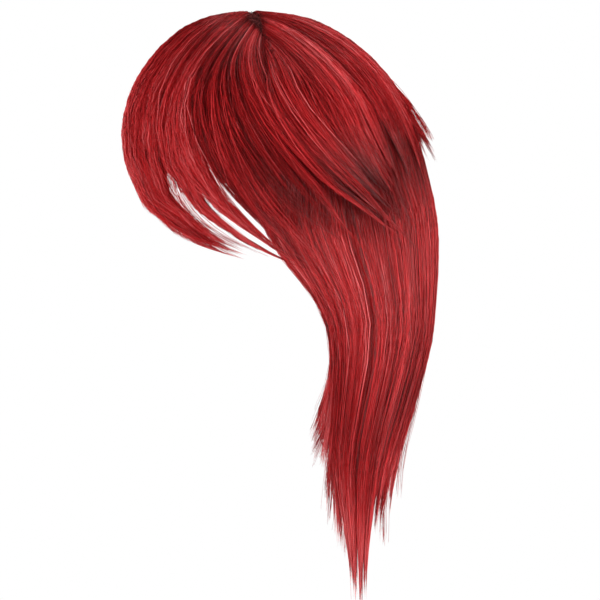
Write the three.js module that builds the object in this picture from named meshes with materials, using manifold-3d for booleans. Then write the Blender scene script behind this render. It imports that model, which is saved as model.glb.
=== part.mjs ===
// A long layered wig: a thin net cap with a dark parting strip, and the hair on it as fused locks in
// a swept fringe, side locks, a short crown layer and the long length. Millimetres and degrees, +Z up.
// The face looks along -Y, the wearer's left is +X, and the origin is the top of the head inside the cap.
import * as THREE from "three";
import { LoftGeometry } from "three/addons/geometries/LoftGeometry.js";
import { mergeVertices } from "three/addons/utils/BufferGeometryUtils.js";
import Module from "manifold-3d";

const wasm = await Module();
wasm.setup();

// The head inside the cap: half sizes of an ellipsoid whose top is the origin, leaning back as it goes down
const HEAD = { halfWidth: 78, halfLength: 100, height: 114, lean: 0.19 };

// A table's rows, each with its values under the names of the columns
function rowsOf(columns, rows) {
  return rows.map((row) => Object.fromEntries(columns.map((column, i) => [column, row[i]])));
}

const CAP_WALL = 1.6;
const PIECE_GAP = 0.35;
const CAP_SIDES = 26;
const CAP_RINGS = 8;
const HEAD_RINGS = 19;

// The cap's edge: how far down the head it reaches, in degrees from the top, going round from the face (0)
// to the nape (180)
const CAP_EDGE = [
  { round: 0, down: 58 },
  { round: 45, down: 68 },
  { round: 78, down: 98 },
  { round: 102, down: 92 },
  { round: 140, down: 108 },
  { round: 180, down: 114 },
];

// The parting runs over the top from one side to the other, behind the fringe
const PARTING = {
  round: 98.5,
  endDown: 62,
  topHalfWidth: 8,
  endHalfWidth: 2.5,
  halfThickness: 0.6,
  sections: 7,
};

// A lock's outline: six-sided and lens-shaped across, and narrowed to a blunt point
const LOCK_SIDES = 6;
const FRINGE_SECTIONS = 7;
const CROWN_SECTIONS = 7;
const LONG_SECTIONS = 9;
const ROOT_LIFT = 7;
const ROOT_RISE = 5;
const ROOT_TURN = 1.9;
const FLICK_POWER = 5;
const TIP_SHARE = 0.06;
const TAPER_FROM = 0.72;
const ROOT_SHARE = 0.45;
const HEAD_BEND = 1 / 200;

// How the locks lie over the head, in degrees down from the top: the middle of the lock above the head, and
// half its thickness
const FRINGE_RISE = [
  { down: 7, lift: 8.6, half: 5 },
  { down: 24, lift: 9.8, half: 6 },
  { down: 45, lift: 11.4, half: 6 },
  { down: 66, lift: 14.5, half: 6.6 },
  { down: 82, lift: 15.4, half: 6.8 },
  { down: 100, lift: 12, half: 5.8 },
  { down: 126, lift: 8, half: 4 },
];
const CROWN_RISE = [
  { down: 7, lift: 8.8, half: 5.6 },
  { down: 25, lift: 12.6, half: 7.6 },
  { down: 58, lift: 15.4, half: 9 },
  { down: 76, lift: 19.2, half: 6.8 },
  { down: 110, lift: 17, half: 4.2 },
];
const LENGTH_RISE = [
  { down: 14, lift: 6.6, half: 3.6 },
  { down: 50, lift: 7.2, half: 4.4 },
  { down: 92, lift: 9.4, half: 5.4 },
];

// Locks of the left half, front to back, mirrored for the right, in degrees down from the top and round
// from the face. Each lock leaves the parting at its root, turns at its waist and sweeps to its tip.
// turn: how late the sweep comes. spread: half width in degrees round. flick: how far the tip stands out.
// The fringe locks end a little sooner on the right.
const RIGHT_FRINGE_END = 0.95;
const LOCK_COLUMNS = [
  "rootDown",
  "root",
  "waistDown",
  "waist",
  "tipDown",
  "tip",
  "turn",
  "spread",
  "flick",
];
const FRINGE_LOCKS = rowsOf(LOCK_COLUMNS, [
  [1, 4, 84, 4, 124, 57, 2.6, 8, 1],
  [1, 36, 82, 15, 124, 69, 3, 9.5, 1],
  [1.5, 64, 80, 30.5, 119, 64, 3.5, 9, 0],
  [4, 84, 83, 48, 126, 92, 2.8, 9, 0],
  [9, 93, 72, 54.5, 126, 93, 2.2, 9, 1],
  [17, 95, 66, 70, 126, 99, 2.2, 9.5, 0],
  [24, 96, 56, 79.5, 120, 111, 1.9, 8.5, 0],
  [32, 96, 50, 90, 117, 129, 2.1, 8.5, 0],
]);
const CROWN_SIDE_LOCKS = rowsOf(LOCK_COLUMNS, [
  [50, 98, 62, 94, 117, 126, 1.9, 7, 0],
  [40, 99.5, 57, 99, 113, 133, 1.9, 9, 0],
  [30, 101, 78, 120, 108, 137, 1.5, 10, 0],
  [21, 102.5, 74, 130, 104, 142, 1.5, 9, 0],
  [13, 105, 62, 145, 97, 151, 1.5, 9.5, 1],
]);
const CROWN_BACK_LOCKS = rowsOf(LOCK_COLUMNS, [
  [7, 112, 52, 160, 90, 161, 1.5, 9, 2],
  [3, 132, 42, 171, 86, 171, 1.5, 8, 13],
  [1.5, 165, 34, 180, 89, 180, 1.5, 8, 1],
]);

// The long hair below the head, section by section: its front and back edges, half its width, and the
// angle that stays open at the front for the neck
const TAIL_SECTIONS = [
  { z: -150, front: 6, back: 151, halfWidth: 86, open: 50 },
  { z: -186, front: 26, back: 154, halfWidth: 80, open: 44 },
  { z: -218, front: 50, back: 152, halfWidth: 72, open: 36 },
  { z: -250, front: 64, back: 149.5, halfWidth: 63, open: 26 },
  { z: -282, front: 66, back: 142.5, halfWidth: 54, open: 18 },
  { z: -314, front: 66, back: 135.5, halfWidth: 46, open: 12 },
  { z: -346, front: 66, back: 126.5, halfWidth: 38, open: 10 },
  { z: -378, front: 67, back: 118, halfWidth: 30, open: 10 },
  { z: -410, front: 69, back: 108.5, halfWidth: 21, open: 10 },
  { z: -460, front: 77, back: 99, halfWidth: 9, open: 10 },
];
const TAIL_STEP = 0.118;
const TAIL_OVERLAP = 0.62;
const TAIL_HALF_THICKNESS = 6;
const TAIL_HEAD_END = 92;
const FLARE_START = -218;
const FLARE_POWER = 2.5;

// Long locks of the left half. lane: degrees round from the face. lean: how much further forward the root
// is. sink: how deep the lock lies on the head, under the layers above. share: place across the tail, from
// its front edge (0) to the middle of the back (1). flare: how far the tip bends back.
const LONG_COLUMNS = ["lane", "lean", "sink", "share", "rootDown", "tipZ", "spread", "flare"];
const SIDE_LOCKS = rowsOf(LONG_COLUMNS, [
  [84, 16, 3, 0.05, 66, -348, 7, -19],
  [93, 14, 3, 0.14, 68, -392, 6.5, -11],
  [102, 11, 3, 0.25, 70, -430, 6.5, -4],
]);
const LENGTH_SIDE_LOCKS = rowsOf(LONG_COLUMNS, [
  [112, 8, 2.5, 0.36, 72, -446, 7, 0],
  [124, 5, 2, 0.48, 72, -458, 7.5, 0],
  [136, 3, 0, 0.6, 70, -452, 7.5, 0],
]);
const LENGTH_BACK_LOCKS = rowsOf(LONG_COLUMNS, [
  [148, 1, -3, 0.72, 64, -444, 7.5, 0],
  [161, 0, -5, 0.84, 64, -418, 7.5, 3],
  [174, 0, -5, 0.95, 64, -398, 7.5, 8],
]);

const COLOURS = {
  hair: { color: 0x9c1f26, roughness: 0.42, metalness: 0 },
  strip: { color: 0x3a2222, roughness: 0.8, metalness: 0 },
  net: { color: 0x4a1518, roughness: 0.85, metalness: 0 },
};

const radians = THREE.MathUtils.degToRad;

// The value of a column at a place between two rows of a table, on a smooth curve through the rows
function between(table, key, at, column) {
  const last = table.length - 1;
  const sign = Math.sign(table[last][key] - table[0][key]);
  const slope = (row) => {
    if (row === 0 || row === last) return 0;
    return (table[row + 1][column] - table[row - 1][column]) / (table[row + 1][key] - table[row - 1][key]);
  };
  let row = 0;
  while (row < last - 1 && sign * at > sign * table[row + 1][key]) {
    row += 1;
  }
  const step = table[row + 1][key] - table[row][key];
  const t = THREE.MathUtils.clamp((at - table[row][key]) / step, 0, 1);
  const rest = 1 - t;
  const start = rest ** 2 * ((1 + 2 * t) * table[row][column] + t * step * slope(row));
  const end = t ** 2 * ((3 - 2 * t) * table[row + 1][column] - rest * step * slope(row + 1));
  return start + end;
}

// A point at a height above the head, by degrees down from the top and round from the face
function headPoint(down, round, lift) {
  const z = (HEAD.height + lift) * Math.cos(radians(down)) - HEAD.height;
  const reach = Math.sin(radians(down));
  const x = (HEAD.halfWidth + lift) * reach * Math.sin(radians(round));
  const y = -(HEAD.halfLength + lift) * reach * Math.cos(radians(round)) - HEAD.lean * z;
  return new THREE.Vector3(x, y, z);
}

function tailSection(z) {
  const front = between(TAIL_SECTIONS, "z", z, "front");
  const back = between(TAIL_SECTIONS, "z", z, "back");
  const halfWidth = between(TAIL_SECTIONS, "z", z, "halfWidth");
  const open = radians(between(TAIL_SECTIONS, "z", z, "open"));
  return { front, back, halfWidth, open };
}

// A point of the tail, inset below its outer surface
function tailPoint(share, z, inset) {
  const { front, back, halfWidth, open } = tailSection(z);
  const angle = open + share * (Math.PI - open);
  const depth = (1 + Math.cos(angle)) / (1 + Math.cos(open));
  const x = (halfWidth - inset) * Math.sin(angle);
  const y = THREE.MathUtils.lerp(back - inset, front + inset, depth);
  return new THREE.Vector3(x, y, z);
}

function tailHalfRound(z) {
  const { front, back, halfWidth, open } = tailSection(z);
  const halfDepth = (back - front) / 2;
  return Math.sqrt((halfWidth ** 2 + halfDepth ** 2) / 2) * (Math.PI - open);
}

// The direction away from the head, or from the tail's middle line below it
function outward(point) {
  const level = THREE.MathUtils.clamp((point.z + HEAD.height) / (TAIL_SECTIONS[0].z + HEAD.height), 0, 1);
  const { front, back, halfWidth } = tailSection(point.z);
  const headY = point.y + HEAD.lean * point.z;
  const onHead = new THREE.Vector3(
    point.x / HEAD.halfWidth ** 2,
    headY / HEAD.halfLength ** 2,
    (point.z + HEAD.height) / HEAD.height ** 2,
  ).normalize();
  const onTail = new THREE.Vector3(
    point.x / halfWidth ** 2,
    (point.y - (front + back) / 2) / ((back - front) / 2) ** 2,
    0,
  ).normalize();
  return onHead.lerp(onTail, level).normalize();
}

// A closed solid from a geometry, without the faces that collapse where a ring shrinks to a point
function asSolid(geometry) {
  const plain = new THREE.BufferGeometry();
  plain.setAttribute("position", geometry.attributes.position);
  plain.setIndex(geometry.index);
  const merged = mergeVertices(plain, 1e-4);
  const corners = merged.index.array;
  const triVerts = [];
  for (let i = 0; i < corners.length; i += 3) {
    const [a, b, c] = corners.slice(i, i + 3);
    if (a !== b && b !== c && c !== a) triVerts.push(a, b, c);
  }
  const mesh = new wasm.Mesh({
    numProp: 3,
    vertProperties: merged.attributes.position.array,
    triVerts: new Uint32Array(triVerts),
  });
  return new wasm.Manifold(mesh);
}

// A lock lofted along its guide: sections are { point, halfWidth, half } from root to tip
function lockSolid(sections, bend, grow) {
  const last = sections.length - 1;
  const rings = sections.map((section, i) => {
    const ahead = sections[Math.min(i + 1, last)].point;
    const behind = sections[Math.max(i - 1, 0)].point;
    const along = ahead.clone().sub(behind).normalize();
    const side = outward(section.point).cross(along).normalize();
    const out = along.clone().cross(side);
    return Array.from({ length: LOCK_SIDES }, (_, k) => {
      const turn = (2 * Math.PI * k) / LOCK_SIDES;
      const across = (section.halfWidth + grow) * Math.cos(turn);
      const above = (section.half + grow) * Math.sin(turn) - bend * across ** 2;
      return section.point.clone().addScaledVector(side, across).addScaledVector(out, above);
    });
  });
  return asSolid(new LoftGeometry(rings, { capStart: true, capEnd: true }));
}

// Narrows a lock from its belly to its tip, and a little towards its root
function taper(t) {
  const root = THREE.MathUtils.lerp(ROOT_SHARE, 1, THREE.MathUtils.smoothstep(t, 0, 0.18));
  const tip = Math.sqrt(Math.max(0, 1 - THREE.MathUtils.smoothstep(t, TAPER_FROM, 1)));
  return Math.max(root * tip, TIP_SHARE);
}

// How far round the head a lock is, at so many degrees down
function laneAt(row, down) {
  if (down < row.waistDown) {
    const left = (row.waistDown - down) / (row.waistDown - row.rootDown);
    return THREE.MathUtils.lerp(row.waist, row.root, left ** ROOT_TURN);
  }
  const swept = (down - row.waistDown) / (row.tipDown - row.waistDown);
  return THREE.MathUtils.lerp(row.waist, row.tip, swept ** row.turn);
}

// A lock that lies on the head, up to the share of its length that end gives
function headLock(row, rise, count, mirror, end) {
  return Array.from({ length: count }, (_, i) => {
    const t = i / (count - 1);
    const down = THREE.MathUtils.lerp(row.rootDown, row.tipDown, end * t);
    const risen = THREE.MathUtils.smoothstep(down - row.rootDown, -2, ROOT_RISE);
    const layer = THREE.MathUtils.lerp(ROOT_LIFT, between(rise, "down", down, "lift"), risen);
    const reach = HEAD.halfLength * Math.sin(radians(down));
    return {
      point: headPoint(down, mirror * laneAt(row, down), layer + row.flick * t ** FLICK_POWER),
      halfWidth: reach * radians(row.spread) * taper(t) + 0.6,
      half: between(rise, "down", down, "half") * taper(t),
    };
  });
}

// A lock that leaves the head and hangs in the tail
function longLock(row, mirror) {
  const points = [];
  for (const share of [0, 0.5, 1]) {
    const down = THREE.MathUtils.lerp(row.rootDown, TAIL_HEAD_END, share);
    const lift = between(LENGTH_RISE, "down", down, "lift") - row.sink;
    points.push(headPoint(down, row.lane - row.lean * (1 - share), lift));
  }
  const levels = TAIL_SECTIONS.map(({ z }) => z).filter((z) => z > row.tipZ + 12);
  for (const z of [...levels, row.tipZ]) {
    const bent = Math.max(0, (z - FLARE_START) / (row.tipZ - FLARE_START)) ** FLARE_POWER;
    const inset = z === row.tipZ ? 2 : TAIL_HALF_THICKNESS;
    points.push(tailPoint(row.share, z, inset).add(new THREE.Vector3(0, row.flare * bent, 0)));
  }
  const guide = new THREE.CatmullRomCurve3(points, false, "centripetal");
  return guide.getSpacedPoints(LONG_SECTIONS - 1).map((point, i) => {
    const t = i / (LONG_SECTIONS - 1);
    const down = THREE.MathUtils.radToDeg(
      Math.acos(THREE.MathUtils.clamp((point.z + HEAD.height) / HEAD.height, -1, 1)),
    );
    const onHead = HEAD.halfLength * Math.sin(radians(Math.min(down, 90))) * radians(row.spread);
    const inTail = TAIL_OVERLAP * TAIL_STEP * tailHalfRound(point.z);
    const hanging = THREE.MathUtils.smoothstep(-point.z, HEAD.height, -TAIL_SECTIONS[1].z);
    const half = between(LENGTH_RISE, "down", down, "half");
    const thick = THREE.MathUtils.lerp(half, TAIL_HALF_THICKNESS, hanging);
    point.x *= mirror;
    return {
      point,
      halfWidth: THREE.MathUtils.lerp(onHead, inTail, hanging) * taper(t) + 0.5,
      half: Math.max(thick * taper(t), 0.6),
    };
  });
}

const LEFT = 1;
const RIGHT = -1;

const crownLock = (mirror) => (row) => headLock(row, CROWN_RISE, CROWN_SECTIONS, mirror, 1);
const fringeLock = (mirror, end) => (row) => headLock(row, FRINGE_RISE, FRINGE_SECTIONS, mirror, end);
const hangingLock = (mirror) => (row) => longLock(row, mirror);

const HAIR = {
  length_back: [LEFT, RIGHT].flatMap((mirror) => LENGTH_BACK_LOCKS.map(hangingLock(mirror))),
  length_left: LENGTH_SIDE_LOCKS.map(hangingLock(LEFT)),
  length_right: LENGTH_SIDE_LOCKS.map(hangingLock(RIGHT)),
  side_left: SIDE_LOCKS.map(hangingLock(LEFT)),
  side_right: SIDE_LOCKS.map(hangingLock(RIGHT)),
  crown_back: [LEFT, RIGHT].flatMap((mirror) => CROWN_BACK_LOCKS.map(crownLock(mirror))),
  crown_left: CROWN_SIDE_LOCKS.map(crownLock(LEFT)),
  crown_right: CROWN_SIDE_LOCKS.map(crownLock(RIGHT)),
  fringe_left: FRINGE_LOCKS.map(fringeLock(LEFT, 1)),
  fringe_right: FRINGE_LOCKS.map(fringeLock(RIGHT, RIGHT_FRINGE_END)),
};

function fuse(locks, grow) {
  return locks.map((sections) => lockSolid(sections, HEAD_BEND, grow)).reduce((a, b) => a.add(b));
}

// The whole head as one solid, which no hair reaches into
function headSolid(lift) {
  const rings = Array.from({ length: HEAD_RINGS }, (_, i) => {
    const down = 180 * (1 - i / (HEAD_RINGS - 1));
    return Array.from({ length: CAP_SIDES }, (_, k) => headPoint(down, (360 * k) / CAP_SIDES, lift));
  });
  return asSolid(new LoftGeometry(rings));
}

// The cap: up the inside from its edge to the top, and down the outside
function capSolid() {
  const ring = (share, lift) =>
    Array.from({ length: CAP_SIDES }, (_, k) => {
      const round = (360 * k) / CAP_SIDES;
      const edge = between(CAP_EDGE, "round", round > 180 ? 360 - round : round, "down");
      return headPoint(share * edge, round, lift);
    });
  const inside = Array.from({ length: CAP_RINGS }, (_, i) => ring(i / (CAP_RINGS - 1), 0));
  const outside = inside.map((_, i) => ring(1 - i / (CAP_RINGS - 1), CAP_WALL));
  return asSolid(new LoftGeometry([...inside, ...outside]));
}

// The dark strip that shows between the fringe and the crown
function partingSolid(grow) {
  const half = PARTING.sections;
  const sections = Array.from({ length: 2 * half + 1 }, (_, i) => {
    const along = (i - half) / half;
    const down = Math.max(Math.abs(along), 0.01) * PARTING.endDown;
    const round = along < 0 ? -PARTING.round : PARTING.round;
    const wide = Math.exp(-((down / 16) ** 2));
    return {
      point: headPoint(down, round, CAP_WALL + PIECE_GAP + PARTING.halfThickness),
      halfWidth: THREE.MathUtils.lerp(PARTING.endHalfWidth, PARTING.topHalfWidth, wide),
      half: PARTING.halfThickness,
    };
  });
  return lockSolid(sections, HEAD_BEND, grow);
}

function largestBody(solid) {
  return solid.decompose().sort((a, b) => b.volume() - a.volume())[0];
}

function named(name, solid, look) {
  const { numProp, numVert, vertProperties, triVerts } = solid.getMesh();
  const position = new Float32Array(numVert * 3);
  for (let i = 0; i < numVert; i += 1) {
    position.set(vertProperties.subarray(i * numProp, i * numProp + 3), i * 3);
  }
  const geometry = new THREE.BufferGeometry();
  geometry.setAttribute("position", new THREE.BufferAttribute(position, 3));
  geometry.setIndex(new THREE.BufferAttribute(triVerts, 1));
  geometry.computeVertexNormals();
  const mesh = new THREE.Mesh(geometry, new THREE.MeshStandardMaterial(look));
  mesh.name = name;
  return mesh;
}

const wig = new THREE.Group();
wig.add(named("wig_cap", capSolid(), COLOURS.net));
wig.add(named("parting_strip", partingSolid(0), COLOURS.strip));

// Each hair piece gives way to the head, the parting strip and the pieces before it
let taken = headSolid(CAP_WALL + PIECE_GAP).add(partingSolid(PIECE_GAP));
for (const [name, locks] of Object.entries(HAIR)) {
  wig.add(named(name, largestBody(fuse(locks, 0).subtract(taken)), COLOURS.hair));
  taken = taken.add(fuse(locks, PIECE_GAP));
}

export default wig;
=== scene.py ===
import math

import bpy
import numpy as np
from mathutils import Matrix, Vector


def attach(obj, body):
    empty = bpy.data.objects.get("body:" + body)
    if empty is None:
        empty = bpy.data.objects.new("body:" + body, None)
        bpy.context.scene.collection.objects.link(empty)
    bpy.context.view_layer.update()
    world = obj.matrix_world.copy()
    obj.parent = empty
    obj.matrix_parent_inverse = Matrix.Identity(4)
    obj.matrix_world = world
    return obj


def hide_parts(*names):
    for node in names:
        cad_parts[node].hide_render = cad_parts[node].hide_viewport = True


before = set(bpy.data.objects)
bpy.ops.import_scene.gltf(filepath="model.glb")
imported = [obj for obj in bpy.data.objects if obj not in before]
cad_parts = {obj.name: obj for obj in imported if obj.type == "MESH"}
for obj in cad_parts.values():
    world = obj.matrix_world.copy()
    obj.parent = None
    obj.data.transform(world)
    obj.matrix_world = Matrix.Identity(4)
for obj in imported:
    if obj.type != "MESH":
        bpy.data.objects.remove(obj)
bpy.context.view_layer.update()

MM = 0.001
LEFT, RIGHT = 1, -1
SEED = 20417

# The head inside the cap, in millimetres: an ellipsoid whose top is the origin, leaning back as it goes down
HEAD_W, HEAD_L, HEAD_H, HEAD_LEAN = 78.0, 100.0, 114.0, 0.19
CAP_WALL = 1.6

# The cap's edge: degrees down from the top of the head, going round from the face (0) to the nape (180)
CAP_EDGE = dict(round=[0, 45, 78, 102, 140, 180], down=[58, 68, 98, 92, 108, 114])
PARTING_ROUND, PARTING_END = 98.5, 62

# down: degrees from the top of the head. lift: middle of the layer above the head. half: half its thickness.
# A lock starts at root_lift and comes up to its layer over root_rise degrees.
FRINGE_RISE = dict(
    down=[7, 24, 45, 66, 82, 100, 126],
    lift=[7.2, 7.8, 9.2, 12.8, 14.2, 11.6, 8],
    half=[5, 6, 6, 6.6, 6.8, 5.8, 4],
    root_lift=7.4,
    root_rise=4,
)
CROWN_RISE = dict(
    down=[7, 25, 58, 76, 110],
    lift=[7.2, 9.6, 12.2, 16.4, 15.5],
    half=[5.6, 7.6, 9, 6.8, 4.2],
    root_lift=7.0,
    root_rise=16,
)
LENGTH_RISE = dict(down=[14, 50, 92], lift=[6.6, 7.2, 9.4], half=[3.6, 4.4, 5.4])
ROOT_TURN, FLICK_POWER = 1.9, 7
RAISE_START, RAISE_END = 84, 118

# Locks on the left half of the head, front to back, in degrees down from the top and round from the face.
# Each leaves the parting at its root, turns at its waist and sweeps to its tip. turn: how late it sweeps.
# flick: how far the tip stands out. raised: how far the lower end lies out over the long hair.
# ragged: how unevenly the strands end. body_end: where the dense hair inside the lock ends.
# dim: how much darker the lock is painted in its band of painted shade. tone: how much lighter or darker the
# lock is than the rest, partly its own colour and partly painted shade and light.
FRINGE = dict(
    root_down=[1, 1, 1.5, 4, 9, 17, 24, 32],
    root=[4, 36, 64, 86, 97, 98, 98.5, 98.5],
    waist_down=[84, 82, 80, 83, 72, 66, 56, 50],
    waist=[4, 15, 30.5, 48, 52.5, 66.5, 79, 90],
    tip_down=[124.8, 123.8, 121, 128, 128.5, 126, 113, 109],
    tip=[61, 66, 62, 88, 93, 95, 111, 129],
    turn=[2.9, 3.1, 3.5, 2.8, 2.2, 2.2, 1.9, 2.1],
    flick=[1, 1, 0, 0, 1, 0, 0, 0],
    raised=[0, 0, 0, 0, 1, 6, 14, 24],
    ragged=[0.02, 0.02, 0.02, 0.03, 0.04, 0.1, 0.15, 0.15],
    body_end=[0.95, 0.95, 0.95, 0.95, 0.93, 0.86, 0.72, 0.68],
    dim=[0.14] * 8,
    tone=[0.19, 0.12, 0.05, 0.06, 0.14, -0.06, -0.19, -0.15],
)
# Where neighbouring fringe locks draw apart, front edge first: degrees down, and share of width that opens
FRINGE_GAPS = dict(
    down=[116, 117, 106, 87, 96, 88, 106, 118, 120],
    share=[0.2, 0.15, 0.4, 0.78, 0.75, 0.66, 0.45, 0.2, 0.1],
)
WIDEST_GAP = 0.8
# The right half ends a little sooner, flicks out less, and its fringe draws apart sooner and wider
RIGHT_FRINGE_END, RIGHT_LONG_END = 0.95, 0.94
RIGHT_FLICK = 0.4
RIGHT_GAP_SOONER, RIGHT_GAP_WIDER = 8, 1.5

CROWN = dict(
    root_down=[50, 40, 30, 21, 13, 7, 3, 1.5],
    root=[95.5, 95.5, 96.5, 98.5, 101, 107, 130, 165],
    waist_down=[62, 57, 78, 74, 62, 52, 42, 34],
    waist=[94, 99, 120, 130, 145, 160, 171, 180],
    tip_down=[106, 104, 101, 98, 93, 89, 83, 84],
    tip=[126, 133, 137, 142, 151, 161, 171, 180],
    turn=[1.9, 1.9, 1.5, 1.5, 1.5, 1.5, 1.5, 1.5],
    flick=[0, 0, 0, 0, 1, 3, 9, 7],
    raised=[16, 9, 4, 1, 0, 0, 0, 0],
    ragged=[0.1, 0.1, 0.1, 0.1, 0.1, 0.08, 0.04, 0.08],
    body_end=[0.8] * 8,
    # dim: how much darker the lock is painted in its band of painted shade, where its tips curve in
    dim=[0.36, 0.36, 0.36, 0.34, 0.3, 0.15, 0, 0],
    # tone: partly the lock's own colour and partly painted shade and light
    tone=[-0.12, -0.03, 0.0, 0.03, 0.05, -0.02, -0.06, -0.06],
)
CROWN_SIDE_COUNT = 5

# The long hair below the head: front and back edges, half its width, and the angle left open for the neck
TAIL = dict(
    z=[-150, -186, -218, -250, -282, -314, -346, -378, -410, -460],
    front=[6, 26, 52, 64, 66, 65, 64, 68, 73, 80],
    back=[149, 150, 148, 145, 137, 127.5, 118, 111, 104, 98],
    half_width=[86, 80, 72, 63, 54, 46, 38, 28, 17, 5],
    open=[50, 44, 36, 26, 18, 12, 10, 10, 10, 10],
)
TAIL_HALF = 6.0
TAIL_HEAD_END = 92
FLARE_START, FLARE_POWER = -218, 2.5

# Long locks of the left half. lane: degrees round from the face where the lock leaves the head.
# lean: how much further forward its root is. sink: how deep it lies on the head. share: place across the
# tail, from its front edge (0) to the middle of the back (1). flare: how far the tip bends back.
LONG = dict(
    lane=[84, 93, 102, 112, 124, 136, 148, 161, 174],
    lean=[16, 14, 11, 8, 5, 3, 1, 0, 0],
    sink=[3, 3, 3, 2.5, 2, 0, -3, -5, -5],
    share=[0.03, 0.09, 0.19, 0.32, 0.46, 0.6, 0.72, 0.84, 0.95],
    root_down=[66, 68, 70, 72, 72, 70, 64, 64, 64],
    tip_z=[-340, -414, -442, -448, -452, -446, -398, -394, -384],
    flare=[-10, -2, 0, 0, 0, 0, 0, 0, 2],
    ragged=[0.02, 0.04, 0.04, 0.04, 0.04, 0.04, 0.04, 0.04, 0.04],
    body_end=[0.97, 0.93, 0.94, 0.94, 0.94, 0.94, 0.86, 0.86, 0.86],
    # dim: how much darker the lock is painted in its band of painted shade
    dim=[0.2] * 9,
    # tone: partly the lock's own colour and partly painted light, the lighter front locks standing in for
    # highlights
    tone=[0.12, 0.11, 0.06, 0.04, 0.03, 0.02, 0, -0.03, 0],
)
SIDE_COUNT, LENGTH_SIDE_COUNT = 3, 3

# Guide curves: points along each, their spacing in rows, and how far they go on past the first and last row
SAMPLES = 61
LANE_STEP = 0.1
LANE_MARGIN = 0.7
# Points from a guide's end over which its direction is taken, where a strand runs on past it
END_STEP = 4
ROOT_RISE_START = -2
# Points of a long lock on the head, points on each stretch of its curve, and how it closes at the tip
HEAD_STEPS, CURVE_STEPS, CURVE_POWER = 3, 24, 0.5
TIP_CLEAR, TIP_INSET = 12, 2
# Columns of the tables that belong to a lock's look
LOOKS = ("tone", "ragged", "body_end", "dim")
# Share of a strand's length that narrows to its point
POINT_LENGTH = 0.012


def hermite(a, b, slope_a, slope_b, t):
    return (
        (2 * t**3 - 3 * t**2 + 1) * a
        + (t**3 - 2 * t**2 + t) * slope_a
        + (3 * t**2 - 2 * t**3) * b
        + (t**3 - t**2) * slope_b
    )


def smooth_table(xs, ys, at):
    """A smooth curve through a table's rows, level at both ends."""
    xs, ys = np.asarray(xs, float), np.asarray(ys, float)
    if xs[-1] < xs[0]:
        xs, ys = xs[::-1], ys[::-1]
    slope = np.zeros_like(ys)
    slope[1:-1] = (ys[2:] - ys[:-2]) / (xs[2:] - xs[:-2])
    at = np.asarray(at, float)
    i = np.clip(np.searchsorted(xs, at) - 1, 0, len(xs) - 2)
    step = xs[i + 1] - xs[i]
    t = np.clip((at - xs[i]) / step, 0, 1)
    return hermite(ys[i], ys[i + 1], step * slope[i], step * slope[i + 1], t)


def between_rows(values, row):
    """A column's value between its rows, on a smooth curve that runs straight on past both ends."""
    y = np.asarray(values, float)
    slope = np.gradient(y)
    i = np.clip(np.floor(row).astype(int), 0, len(y) - 2)
    t = row - i
    inside = np.clip(t, 0, 1)
    curve = hermite(y[i], y[i + 1], slope[i], slope[i + 1], inside)
    return curve + (t - inside) * np.where(t < 0, slope[0], slope[-1])


def smoothstep(x, low, high):
    t = np.clip((np.asarray(x, float) - low) / (high - low), 0, 1)
    return t * t * (3 - 2 * t)


def unit(v):
    return v / np.maximum(np.linalg.norm(v, axis=-1, keepdims=True), 1e-9)


def head_point(down, around, lift):
    d, r = np.radians(down), np.radians(around)
    z = (HEAD_H + lift) * np.cos(d) - HEAD_H
    x = (HEAD_W + lift) * np.sin(d) * np.sin(r)
    y = -(HEAD_L + lift) * np.sin(d) * np.cos(r) - HEAD_LEAN * z
    return np.stack([x, y, z], -1)


def tail_section(z):
    return {k: smooth_table(TAIL["z"], TAIL[k], z) for k in ("front", "back", "half_width", "open")}


def tail_point(share, z, inset):
    s = tail_section(z)
    gap = np.radians(s["open"])
    angle = gap + share * (math.pi - gap)
    depth = (1 + np.cos(angle)) / (1 + np.cos(gap))
    x = (s["half_width"] - inset) * np.sin(angle)
    y = (s["back"] - inset) * (1 - depth) + (s["front"] + inset) * depth
    return np.stack([x, y, np.broadcast_to(z, x.shape)], -1)


def outward(p):
    """The direction away from the head, or from the tail's middle line below it."""
    level = np.clip((p[..., 2] + HEAD_H) / (TAIL["z"][0] + HEAD_H), 0, 1)[..., None]
    s = tail_section(p[..., 2])
    half_depth = (s["back"] - s["front"]) / 2
    on_head = [
        p[..., 0] / HEAD_W**2,
        (p[..., 1] + HEAD_LEAN * p[..., 2]) / HEAD_L**2,
        (p[..., 2] + HEAD_H) / HEAD_H**2,
    ]
    on_tail = [
        p[..., 0] / s["half_width"] ** 2,
        (p[..., 1] - (s["front"] + s["back"]) / 2) / half_depth**2,
        np.zeros_like(p[..., 2]),
    ]
    return unit(unit(np.stack(on_head, -1)) * (1 - level) + unit(np.stack(on_tail, -1)) * level)


def lane_rows(count):
    return np.arange(-LANE_MARGIN, count - 1 + LANE_MARGIN + 1e-6, LANE_STEP)


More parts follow.
